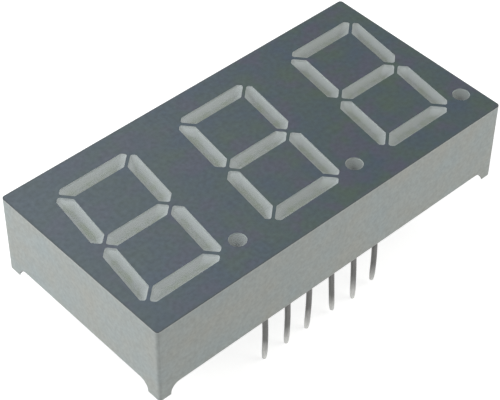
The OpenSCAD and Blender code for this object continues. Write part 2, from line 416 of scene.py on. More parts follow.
class Shading:
    """Builds a tree of shader nodes, with patterns measured in millimetres of the part."""

    def __init__(self, tree: bpy.types.NodeTree, output: str) -> None:
        """Empties a tree and gives it its output.

        Args:
            tree: a material's or the world's tree.
            output: the output node's type after ShaderNode.
        """
        self.tree = tree
        self.tree.nodes.clear()
        self.output = self.node(output)

    def node(self, kind: str, *ordered: object, **named: object) -> bpy.types.Node:
        """Adds a node and sets or links its inputs.

        Args:
            kind: the node's type after ShaderNode.
            ordered: what goes into its first inputs, in order.
            named: what goes into its inputs by name, with underscores for spaces.

        Returns:
            The node.
        """
        made = self.tree.nodes.new("ShaderNode" + kind)
        for socket, value in zip(made.inputs, ordered):
            self.put(socket, value)
        for name, value in named.items():
            self.put(made.inputs[name.replace("_", " ")], value)
        return made

    def put(self, socket: bpy.types.NodeSocket, value: object) -> None:
        """Links or sets an input.

        Args:
            socket: the input.
            value: a socket, a node, which stands for its first output, or the value itself.
        """
        if isinstance(value, bpy.types.Node):
            value = value.outputs[0]
        if isinstance(value, bpy.types.NodeSocket):
            self.tree.links.new(value, socket)
        else:
            socket.default_value = value

    def show(self, shader: bpy.types.Node) -> None:
        """Joins a shader to the output."""
        self.put(self.output.inputs["Surface"], shader)

    def place(self, stretch: tuple[float, float, float] = (1, 1, 1),
              start: tuple[float, float, float] = (0, 0, 0), turn_deg: float = 0.0) -> bpy.types.NodeSocket:
        """Gives the place on the part in millimetres.

        Args:
            stretch: a factor for each axis; below 1 it draws a pattern out along that axis.
            start: where the part's origin lies in the pattern.
            turn_deg: how far the axes are turned about z.

        Returns:
            The vector's socket.
        """
        where = self.node("TexCoord").outputs["Object"]
        scale = tuple(factor / MM for factor in stretch)
        turn = (0, 0, math.radians(turn_deg))
        return self.node("Mapping", Vector=where, Location=start, Rotation=turn, Scale=scale).outputs[0]

    def noise(self, size: float, detail: float,
              place: bpy.types.NodeSocket | None = None) -> bpy.types.NodeSocket:
        """Gives a cloudy pattern from 0 to 1, its size in millimetres, with so many finer layers."""
        spot = place if place is not None else self.place()
        return self.node("TexNoise", Vector=spot, Scale=1 / size, Detail=detail).outputs[0]

    def spread(self, pattern: bpy.types.NodeSocket, low: float, high: float,
               start: float = 0.3, end: float = 0.7) -> bpy.types.NodeSocket:
        """Maps start to end onto low to high; most of a cloudy pattern lies from 0.3 to 0.7."""
        return self.node("MapRange", pattern, start, end, low, high).outputs[0]

    def clouds(self, clouds: Clouds) -> bpy.types.NodeSocket:
        """Gives a cloudy pattern on the part that runs between its two values."""
        return self.spread(self.noise(clouds.size, clouds.detail), clouds.low, clouds.high)

    def blend(self, share: object, first: object, second: object) -> bpy.types.NodeSocket:
        """Mixes two colours by a share.

        Args:
            share: how much of the second, a number or a socket.
            first: a linear colour or a socket.
            second: a linear colour or a socket.

        Returns:
            The mixed colour's socket.
        """
        made = self.node("Mix")
        made.data_type = "RGBA"
        for index, value in ((0, share), (6, first), (7, second)):
            self.put(made.inputs[index], value)
        return made.outputs[2]

    def drift(self, share: bpy.types.NodeSocket, first: Color, second: Color) -> bpy.types.NodeSocket:
        """Drifts by a share from one colour to another, both as they look on a screen."""
        return self.blend(share, linear(first), linear(second))

    def flecked(self, color: bpy.types.NodeSocket, factor: bpy.types.NodeSocket) -> bpy.types.NodeSocket:
        """Multiplies a colour by a pattern, to darken or lighten it."""
        return self.node("HueSaturation", Color=color, Value=factor).outputs[0]

    def combine(self, operation: str, first: object, second: object) -> bpy.types.NodeSocket:
        """Does arithmetic.

        Args:
            operation: what is done, such as MULTIPLY or ADD.
            first: a number, a node or a socket.
            second: another.

        Returns:
            The result's socket.
        """
        made = self.node("Math", first, second)
        made.operation = operation
        return made.outputs[0]

    def relief(self, height: bpy.types.NodeSocket, depth: float, strength: float) -> bpy.types.NodeSocket:
        """Turns a height pattern into a surface's normal, with the pattern's depth in millimetres."""
        return self.node("Bump", Height=height, Distance=depth * MM, Strength=strength).outputs[0]

    def bumps(self, relief: Relief) -> bpy.types.NodeSocket:
        """Gives the normal of a surface with a fine cloudy relief."""
        return self.relief(self.noise(relief.size, relief.detail), relief.depth, relief.strength)


class Paint(Shading):
    """Builds one procedural material."""

    def __init__(self, name: str) -> None:
        """Starts an empty material.

        Args:
            name: the material's name.
        """
        self.material = bpy.data.materials.new(name)
        self.material.use_nodes = True
        super().__init__(self.material.node_tree, "OutputMaterial")

    def edge(self) -> bpy.types.NodeSocket:
        """Gives the mesh's own edge mark.

        Returns:
            The socket of the mark, from 0 to 1.
        """
        made = self.node("Attribute")
        made.attribute_name = "edge"
        return made.outputs["Fac"]

    def surface(self, **values: object) -> bpy.types.Material:
        """Shows the main shader with these inputs and gives the finished material."""
        self.show(self.node("BsdfPrincipled", **values))
        return self.material


@dataclass(frozen=True)
class MouldedFinish:
    """Moulded plastic: a drift between two shades, a fine spark-eroded grain and a pale painted highlight on
    its rounded edges.
    """

    name: str = "moulded_case"
    cool: Color = (0.716, 0.755, 0.757)
    warm: Color = (0.743, 0.75, 0.726)
    edge_highlight: Color = (0.80, 0.81, 0.80)
    edge_highlight_share: float = 0.75
    shades: Clouds = Clouds(3.2, 4)
    speck: Clouds = Clouds(0.3, 5, 0.89, 1.08)
    roughness: Clouds = Clouds(0.8, 3, 0.5, 0.62)
    grain: Relief = Relief(0.09, 3, 0.004, 0.6)

    def paint(self) -> bpy.types.Material:
        """Builds the material.

        Returns:
            The material, with a pale painted highlight where the mesh has edge marks.
        """
        paint = Paint(self.name)
        shade = paint.drift(paint.clouds(self.shades), self.cool, self.warm)
        tint = paint.flecked(shade, paint.clouds(self.speck))
        # Painted highlight: the rounded edges are blended towards a paler colour.
        painted_highlight = paint.combine("MULTIPLY", paint.edge(), self.edge_highlight_share)
        return paint.surface(
            Base_Color=paint.blend(painted_highlight, tint, linear(self.edge_highlight)),
            Roughness=paint.clouds(self.roughness),
            Normal=paint.bumps(self.grain),
        )


@dataclass(frozen=True)
class PrintedFinish:
    """Screen-printed ink: three greys that drift into each other, with a fine orange-peel relief.

    The print is painted paler and bluer towards the corner above the first digit: a painted sheen that stands
    in for a glossy reflection.
    """

    name: str = "face_ink"
    blue: Color = (0.192, 0.252, 0.308)
    green: Color = (0.216, 0.282, 0.246)
    violet: Color = (0.252, 0.247, 0.318)
    # The paler, bluer colour of the painted sheen towards the corner above the first digit.
    thin: Color = (0.334, 0.368, 0.40)
    rim: Color = (0.25, 0.28, 0.29)
    rim_share: float = 0.8
    shades: Clouds = Clouds(2.4, 3)
    violet_share: float = 0.7
    violet_range: tuple[float, float] = (0.5, 0.65)
    violet_start: tuple[float, float, float] = (9, 4, 0)
    painted_sheen_share: float = 0.65
    painted_sheen_turn_deg: float = 30.0
    painted_sheen_strongest_x: float = -20.7
    painted_sheen_gone_x: float = 7.0
    cloud: Clouds = Clouds(0.4, 4, 0.83, 1.17)
    roughness: Clouds = Clouds(0.5, 3, 0.4, 0.52)
    gloss: float = 0.45
    peel: Relief = Relief(0.16, 2, 0.003, 0.5)

    def paint(self) -> bpy.types.Material:
        """Builds the material.

        Returns:
            The material, whose rim follows the mesh's edge marks.
        """
        paint = Paint(self.name)
        shade = paint.drift(paint.clouds(self.shades), self.blue, self.green)
        patch = paint.noise(self.shades.size, self.shades.detail, paint.place(start=self.violet_start))
        violet = paint.spread(patch, 0, self.violet_share, *self.violet_range)
        shade = paint.blend(violet, shade, linear(self.violet))
        # Painted sheen: the ink is blended towards a paler, bluer colour along a turned x, towards the corner
        # above the first digit.
        along = paint.node("SeparateXYZ", Vector=paint.place(turn_deg=self.painted_sheen_turn_deg)).outputs["X"]
        thin = paint.spread(along, self.painted_sheen_share, 0, self.painted_sheen_strongest_x, self.painted_sheen_gone_x)
        shade = paint.blend(thin, shade, linear(self.thin))
        tint = paint.flecked(shade, paint.clouds(self.cloud))
        rimmed = paint.combine("MULTIPLY", paint.edge(), self.rim_share)
        return paint.surface(
            Base_Color=paint.blend(rimmed, tint, linear(self.rim)),
            Roughness=paint.clouds(self.roughness),
            Specular_IOR_Level=self.gloss,
            Normal=paint.bumps(self.peel),
        )


@dataclass(frozen=True)
class MilkyFinish:
    """Epoxy clouded with white powder, which lies deeper in places and thinner along the walls."""

    name: str
    pale: Color
    deep: Color
    wall: Color
    cloud: Clouds = Clouds(0.9, 3)
    fleck: Clouds = Clouds(0.2, 4, 0.93, 1.07)
    roughness: float = 0.55
    gloss: float = 0.2
    ripple: Relief = Relief(0.4, 2, 0.01, 0.5)

    def paint(self) -> bpy.types.Material:
        """Builds the material.

        Returns:
            The material, paler where the mesh has edge marks, along the walls.
        """
        paint = Paint(self.name)
        shade = paint.drift(paint.clouds(self.cloud), self.deep, self.pale)
        tint = paint.flecked(shade, paint.clouds(self.fleck))
        return paint.surface(
            Base_Color=paint.blend(paint.edge(), tint, linear(self.wall)),
            Roughness=self.roughness,
            Specular_IOR_Level=self.gloss,
            Normal=paint.bumps(self.ripple),
        )


@dataclass(frozen=True)
class PouredFinish:
    """Poured epoxy: milky and glossy, with a few burst bubbles, and a paler film where it climbs."""

    name: str = "poured_epoxy"
    thick: Color = (0.72, 0.735, 0.715)
    thin: Color = (0.67, 0.70, 0.655)
    film: Color = (0.79, 0.80, 0.785)
    cloud: Clouds = Clouds(7.0, 3)
    fleck: Clouds = Clouds(0.25, 4, 0.96, 1.04)
    roughness: Clouds = Clouds(2.0, 3, 0.2, 0.32)
    swell: Relief = Relief(1.2, 2, 0.05, 0.8)
    bubble_pitch: float = 1.5
    bubble_r: float = 0.13

    def paint(self) -> bpy.types.Material:
        """Builds the material.

        Returns:
            The material, with its film where the mesh has edge marks.
        """
        paint = Paint(self.name)
        shade = paint.drift(paint.clouds(self.cloud), self.thin, self.thick)
        tint = paint.flecked(shade, paint.clouds(self.fleck))
        cells = paint.node("TexVoronoi", Vector=paint.place(), Scale=1 / self.bubble_pitch)
        pit = paint.spread(cells.outputs["Distance"], -1, 0, 0, self.bubble_r / self.bubble_pitch)
        height = paint.combine("ADD", pit, paint.noise(self.swell.size, self.swell.detail))
        return paint.surface(
            Base_Color=paint.blend(paint.edge(), tint, linear(self.film)),
            Roughness=paint.clouds(self.roughness),
            Normal=paint.relief(height, self.swell.depth, self.swell.strength),
        )


@dataclass(frozen=True)
class ClearFinish:
    """Clear cured epoxy: light passes, and its surface reflects more at a glance than head on."""

    name: str = "clear_epoxy"
    passed: Color = (0.97, 0.98, 0.98)
    roughness: float = 0.16
    refraction: float = 1.5
    wave: Relief = Relief(0.9, 2, 0.02, 0.35)

    def paint(self) -> bpy.types.Material:
        """Builds the material.

        Returns:
            The material, which is all gloss at a glance and nearly none head on.
        """
        paint = Paint(self.name)
        wave = paint.bumps(self.wave)
        gloss = paint.node("BsdfAnisotropic", Roughness=self.roughness, Normal=wave)
        through = paint.node("BsdfTransparent", Color=linear(self.passed))
        glance = paint.node("Fresnel", IOR=self.refraction, Normal=wave)
        entering = paint.combine("SUBTRACT", 1.0, paint.node("NewGeometry").outputs["Backfacing"])
        share = paint.combine("MULTIPLY", glance, entering)
        paint.show(paint.node("MixShader", share, through, gloss))
        return paint.material


@dataclass(frozen=True)
class MetalFinish:
    """Drawn or dipped metal: dull patches between bright ones, and fine streaks."""

    name: str
    bright: Color
    dull: Color
    patch: Clouds = Clouds(0.5, 4)
    streak: Relief = Relief(0.125, 3, 0.004, 0.5)
    smooth: float = 0.25
    rough: float = 0.5

    def paint(self) -> bpy.types.Material:
        """Builds the material.

        Returns:
            The material, smooth where it is bright and rough where it is dull.
        """
        paint = Paint(self.name)
        patch = paint.clouds(self.patch)
        return paint.surface(
            Base_Color=paint.drift(patch, self.dull, self.bright),
            Metallic=1.0,
            Roughness=paint.spread(patch, self.rough, self.smooth, 0, 1),
            Normal=paint.bumps(self.streak),
        )


@dataclass(frozen=True)
class PinFinish:
    """Tinned wire, with painted shade that darkens it at the root and a painted reflection that makes it
    paler towards the tip.
    """

    name: str = "dipped_tin"
    # root is the dark painted shade near the body; tip is the pale painted reflection towards the tip.
    root: Color = (0.44, 0.44, 0.435)
    tip: Color = (0.88, 0.88, 0.87)
    painted_shade_z: float = -3.9
    painted_reflection_z: float = -7.0
    stretch: tuple[float, float, float] = (1, 1, 0.25)
    patch: Clouds = Clouds(0.5, 4, -0.5, 0.5)
    streak: Relief = Relief(0.12, 3, 0.004, 0.5)
    streak_dark: float = 0.88
    streak_light: float = 1.1
    smooth: float = 0.3
    rough: float = 0.5

    def paint(self) -> bpy.types.Material:
        """Builds the material, whose patches also make the height at which the painted shade gives way
        ragged.

        Returns:
            The material.
        """
        paint = Paint(self.name)
        place = paint.place(self.stretch)
        patch = paint.noise(self.patch.size, self.patch.detail, place)
        streak = paint.noise(self.streak.size, self.streak.detail, place)
        height = paint.node("SeparateXYZ", Vector=paint.place()).outputs["Z"]
        ragged = paint.combine("ADD", height, paint.spread(patch, self.patch.low, self.patch.high))
        # Painted shade and reflection: by height, the colour runs from dark near the body to pale at the tip.
        shade = paint.drift(paint.spread(ragged, 0, 1, self.painted_shade_z, self.painted_reflection_z), self.root, self.tip)
        return paint.surface(
            Base_Color=paint.flecked(shade, paint.spread(streak, self.streak_dark, self.streak_light)),
            Metallic=1.0,
            Roughness=paint.spread(patch, self.rough, self.smooth),
            Normal=paint.relief(streak, self.streak.depth, self.streak.strength),
        )


@dataclass(frozen=True)
class LaminateFinish:
    """Woven glass in resin: two crossed sets of threads under a smooth surface."""

    name: str = "laminate"
    thread: Color = (0.60, 0.65, 0.46)
    resin: Color = (0.50, 0.56, 0.37)
    roughness: float = 0.4
    thread_pitch: float = 0.4
    thread_depth: float = 0.01
    thread_strength: float = 0.3

    def paint(self) -> bpy.types.Material:
        """Builds the material.

        Returns:
            The material.
        """
        paint = Paint(self.name)
        waves = []
        for direction in ("X", "Y"):
            wave = paint.node("TexWave", Vector=paint.place(), Scale=1 / (self.thread_pitch * math.pi))
            wave.bands_direction = direction
            waves.append(wave.outputs["Fac"])
        weave = paint.combine("MULTIPLY", *waves)
        return paint.surface(
            Base_Color=paint.drift(weave, self.resin, self.thread),
            Roughness=self.roughness,
            Normal=paint.relief(weave, self.thread_depth, self.thread_strength),
        )


CASE_PLASTIC = MouldedFinish()
# Painted light: the bars' well walls get a paler copy of the case's plastic.
WELL_PLASTIC = MouldedFinish("well_plastic", cool=(0.75, 0.77, 0.775), warm=(0.76, 0.77, 0.76))
FACE_INK = PrintedFinish()
BAR_RESIN = MilkyFinish("bar_resin", (0.555, 0.562, 0.562), (0.50, 0.522, 0.465), wall=(0.70, 0.71, 0.71))
# Painted shade: the points' resin is a darker copy of the bars' resin, for their narrow wells.
POINT_RESIN = MilkyFinish("point_resin", (0.34, 0.35, 0.345), (0.30, 0.315, 0.31), wall=(0.57, 0.585, 0.58))
CLEAR_RESIN = ClearFinish()
POTTING = PouredFinish()
TIN = PinFinish()
COPPER = MetalFinish("copper", bright=(0.85, 0.56, 0.38), dull=(0.62, 0.36, 0.24))
SOLDER = MetalFinish("solder", bright=(0.82, 0.83, 0.84), dull=(0.6, 0.61, 0.62), smooth=0.15, rough=0.35)
GOLD = MetalFinish("gold_wire", bright=(0.95, 0.78, 0.38), dull=(0.8, 0.62, 0.28),
                   patch=Clouds(0.05, 4), streak=Relief(0.0125, 3, 0.004, 0.5))
DIE = MetalFinish("die", bright=(0.62, 0.56, 0.42), dull=(0.4, 0.36, 0.27),
                  patch=Clouds(0.1, 4), streak=Relief(0.025, 3, 0.004, 0.5), smooth=0.3)
LAMINATE = LaminateFinish()


# The digits' plan


class Bar(Enum):
    """A bar of a digit, with its side (-1 left, 1 right, 0 level) and its storey (1 up, -1 down)."""

    A = (0, 1)
    B = (1, 1)
    C = (1, -1)
    D = (0, -1)
    E = (-1, -1)
    F = (-1, 1)
    G = (0, 0)


@dataclass(frozen=True)
class Well:
    """One light well: its name, its outlines on the face and on the floor, its middle and its lean."""

    label: str
    face: np.ndarray
    floor: np.ndarray
    middle: np.ndarray
    lean: float = 0.0

    @property
    def is_point(self) -> bool:
        """Whether it is a decimal point's well."""
        return self.label == "point"

    def sheared(self, outline: np.ndarray, lean: float) -> np.ndarray:
        """Shears an outline that is measured from the middle: x grows by y times the lean."""
        return outline @ np.array([[1.0, 0.0], [lean, 1.0]])

    def shrunk(self, outline: np.ndarray, run: float | np.ndarray) -> np.ndarray:
        """Draws an outline in towards the middle, so that its length and width each lose two runs.

        The outline is stood upright, scaled about the middle and leaned over again.

        Args:
            outline: the outline to draw in.
            run: the distance that each side moves, or one along x and one along y; below 0 the
                outline grows.

        Returns:
            The new outline.
        """
        upright = self.sheared(outline - self.middle, -self.lean)
        size = np.ptp(upright, axis=0)
        return self.middle + self.sheared(upright * (size - 2 * run) / size, self.lean)


@dataclass(frozen=True)
class DigitPlan:
    """The plan of a digit, in millimetres, with the same sizes as the solids but rounder corners."""

    digit_h: float = 14.2
    column_gap: float = 6.82
    level_bar: float = 1.4
    upright_bar: float = 1.34
    slant_deg: float = 8.0
    mitre_gap: float = 0.31
    corner_cut: float = 0.28
    point_d: float = 1.5
    point_x: float = 4.65
    floor_l: float = 3.4
    floor_w: float = 1.0
    point_floor_d: float = 1.05
    corner_r: float = 0.2
    corner_steps: int = 5
    point_steps: int = 40

    @property
    def slant(self) -> float:
        """How much x grows with y on a leaned digit."""
        return math.tan(math.radians(self.slant_deg))

    @property
    def column(self) -> float:
        """Distance from the digit's middle to its upright bars' centrelines."""
        return self.column_gap / 2

    @property
    def row(self) -> float:
        """Distance from the digit's middle to its top and bottom bars' centrelines."""
        return (self.digit_h - self.level_bar) / 2

    @property
    def gap(self) -> float:
        """The mitre gap measured along the grid."""
        return self.mitre_gap / math.sqrt(2)

    @property
    def cut(self) -> float:
        """The outer corner's cut measured along the grid."""
        return self.corner_cut * math.sqrt(2)

    def lean(self, outline: np.ndarray) -> np.ndarray:
        """Leans an upright outline to the right: x grows by y times the slant."""
        return outline + np.column_stack([outline[:, 1] * self.slant, np.zeros(len(outline))])

    def corners(self, bar: Bar) -> np.ndarray:
        """Gives the six corners of a bar on an upright digit.

        Bars meet in mitres at 45 degrees with a gap between them, and the outer bars' corners are
        cut off at 45 degrees.

        Args:
            bar: which bar.

        Returns:
            The corners, one a row.
        """
        side, storey = bar.value
        column, row, gap, cut = self.column, self.row, self.gap, self.cut
        if bar is Bar.G:
            half = self.level_bar / 2
            shoulder = column - half - gap
            right = np.array([[shoulder, -half], [column - gap, 0], [shoulder, half]])
            return np.vstack([right, -right])
        if side == 0:
            half = self.level_bar / 2
            right = np.array([
                [column - half - gap, row - half],
                [column + (cut - gap) / 2, row + (cut + gap) / 2],
                [column - half + cut, row + half],
            ])
            both = np.vstack([right, right[::-1] * (-1, 1)])
            return both * (1, storey)
        half = self.upright_bar / 2
        upright = np.array([
            [column, gap],
            [column - half, half + gap],
            [column - half, row - half - gap],
            [column + (cut + gap) / 2, row + (cut - gap) / 2],
            [column + half, row - half + cut],
            [column + half, half + gap],
        ])
        return upright * (side, storey)

    def middle(self, bar: Bar) -> np.ndarray:
        """The middle of a bar on an upright digit."""
        side, storey = bar.value
        return np.array([side * self.column, storey * self.row * (0.5 if side else 1.0)])

    def bar_well(self, bar: Bar) -> Well:
        """Works out a bar's well about its digit's middle.

        Args:
            bar: which bar.

        Returns:
            The well, leaned over.
        """
        outline = round_corners(anticlockwise(self.corners(bar)), self.corner_r, self.corner_steps)
        middle = self.middle(bar)
        floor_size = (self.floor_l, self.floor_w) if bar.value[0] == 0 else (self.floor_w, self.floor_l)
        floor = middle + (outline - middle) * np.array(floor_size) / np.ptp(outline, axis=0)
        return Well(f"segment_{bar.name.lower()}", self.lean(outline), self.lean(floor),
                    self.lean(middle[None])[0], self.slant)

    def point_well(self) -> Well:
        """Works out the decimal point's well about its digit's middle.

        Returns:
            The well, upright and round.
        """
        middle = np.array([self.point_x, -self.row])
        face = middle + circle(self.point_d / 2, self.point_steps)
        floor = middle + circle(self.point_floor_d / 2, self.point_steps)
        return Well("point", face, floor, middle)

    def wells(self) -> list[Well]:
        """All of a digit's wells."""
        return [self.bar_well(bar) for bar in Bar] + [self.point_well()]


@dataclass(frozen=True)
class Levels:
    """Heights of the display's layers and places of its digits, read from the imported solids."""

    face: float
    ink: float
    board_front: float
    board_back: float
    potting: float
    digit_x: tuple[float, ...]

    @classmethod
    def from_frame(cls) -> "Levels":
        """Reads the layers' heights from the nodes' boxes, and spaces the digits evenly.

        Returns:
            The levels.
        """
        print_low, print_high = box_mm("face_print")
        board_low, board_high = box_mm("circuit_board")
        first = box_mm("digit_1_segment_g")
        last = box_mm(f"digit_{DIGITS}_segment_g")
        middles = np.linspace(first[0][0] + first[1][0], last[0][0] + last[1][0], DIGITS) / 2
        return cls(
            face=print_high[2],
            ink=print_low[2],
            board_front=board_high[2],
            board_back=board_low[2],
            potting=box_mm("potting_resin")[0][2],
            digit_x=tuple(middles),
        )


# The camera and the studio


@dataclass(frozen=True)
class PhotoCamera:
    """The camera that took the photograph, as fitted to the case's corners and the pins' tips.

    Its lengths are in millimetres.
    """

    azimuth_deg: float = -43.04
    elevation_deg: float = 44.76
    roll_deg: float = 0.789
    distance: float = 138.3
    aim: tuple[float, float, float] = (-1.048, -0.223, 3.114)
    lens: float = 120.1
    sensor: float = 36.0
    nearest: float = 10.0
    farthest: float = 10000.0

    def build(self) -> None:
        """Makes the scene's camera."""
        azimuth = math.radians(self.azimuth_deg)
        roll = math.radians(self.roll_deg)
        back = bearing(self.azimuth_deg, self.elevation_deg)
        level = Vector((math.cos(azimuth), math.sin(azimuth), 0))
        upright = back.cross(level)
        right = level * math.cos(roll) + upright * math.sin(roll)
        up = upright * math.cos(roll) - level * math.sin(roll)
        eye = (Vector(self.aim) + back * self.distance) * MM
        data = bpy.data.cameras.new("photo_camera")
        data.lens = self.lens
        data.sensor_width = self.sensor
        data.clip_start = self.nearest * MM
        data.clip_end = self.farthest * MM
        camera = link("photo_camera", data)
        axes = Matrix((right, up, back)).transposed().to_4x4()
        camera.matrix_world = Matrix.Translation(eye) @ axes
        bpy.context.scene.camera = camera


@dataclass(frozen=True)
class Lamp:
    """A soft square lamp: its bearing from the part, its distance and side in metres, power and tint."""

    name: str
    azimuth_deg: float
    elevation_deg: float
    distance: float
    side: float
    power: float
    tint: Color

    def build(self) -> None:
        """Makes the lamp, turned to face the part."""
        towards = bearing(self.azimuth_deg, self.elevation_deg)
        data = bpy.data.lights.new(self.name, "AREA")
        data.shape = "SQUARE"
        data.size = self.side
        data.energy = self.power
        data.color = self.tint
        lamp = link(self.name, data)
        lamp.location = towards * self.distance
        lamp.rotation_mode = "QUATERNION"
        lamp.rotation_quaternion = towards.to_track_quat("Z", "Y")


@dataclass(frozen=True)
class Studio:
    """A white floor under the pins, an even sky and soft lamps.

    The key stands on the left, the fill in front, and the sheen behind, where the face mirrors it.
    The floor's side is in metres.
    """

    floor_side: float = 3.0
    floor_albedo: float = 0.5
    floor_lift: float = 0.8
    floor_dust: Clouds = Clouds(40, 2, 0.985, 1.0)
    sky: float = 0.36
    lamps: tuple[Lamp, ...] = (
        Lamp("key", -113, 49, distance=0.13, side=0.08, power=0.09, tint=(0.98, 1.0, 1.0)),
        Lamp("fill", 44, 44, distance=0.15, side=0.09, power=0.067, tint=(1.0, 1.0, 0.95)),
        Lamp("sheen", 155, 53, distance=0.3, side=0.14, power=0.08, tint=(0.86, 0.93, 1.0)),
    )

    def seen(self, shading: Shading) -> bpy.types.NodeSocket:
        """Tells the rays that see a surface from those that gather light on it.

        Args:
            shading: the tree that asks.

        Returns:
            The socket of 1 for rays from the camera, off metal or through glass, and 0 for light.
        """
        path = shading.node("LightPath").outputs
        reflected = shading.combine("MAXIMUM", path["Is Glossy Ray"], path["Is Transmission Ray"])
        return shading.combine("MAXIMUM", path["Is Camera Ray"], reflected)

    def floor_paint(self) -> bpy.types.Material:
        """Builds the floor's material: white to the eye, with the part's shadow on it.

        Returns:
            The material, which is open from below.
        """
        paint = Paint("studio_floor")
        tone = paint.blend(paint.clouds(self.floor_dust), (0, 0, 0, 1), (self.floor_albedo,) * 3 + (1,))
        matte = paint.node("BsdfDiffuse", Color=tone)
        glow = paint.node("Emission", Strength=paint.combine("MULTIPLY", self.seen(paint), self.floor_lift))
        below = paint.node("NewGeometry").outputs["Backfacing"]
        both = paint.node("AddShader", matte, glow)
        paint.show(paint.node("MixShader", below, both, paint.node("BsdfTransparent")))
        return paint.material

    def build_floor(self) -> None:
        """Lays the floor at the height of the pins' tips."""
        half = self.floor_side / 2
        level = CAD_BOX[0].z
        corners = [(-half, -half, level), (half, -half, level), (half, half, level), (-half, half, level)]
        mesh = bpy.data.meshes.new("studio_floor")
        mesh.from_pydata(corners, [], [(0, 1, 2, 3)])
        mesh.materials.append(self.floor_paint())
        link("studio_floor", mesh)

    def build_sky(self) -> None:
        """Makes the world: white where it is seen, and dimmer as a source of light."""
        world = bpy.data.worlds.new("studio_sky")
        world.use_nodes = True
        bpy.context.scene.world = world
        air = Shading(world.node_tree, "OutputWorld")
        strength = air.spread(self.seen(air), self.sky, 1.0, 0, 1)
        air.show(air.node("Background", Color=(1, 1, 1, 1), Strength=strength))

    def build(self) -> None:
        """Builds the floor, the sky and the lamps."""
        self.build_floor()
        self.build_sky()
        for lamp in self.lamps:
            lamp.build()
        bpy.context.scene.view_settings.view_transform = "Standard"


# The display's sub-assemblies


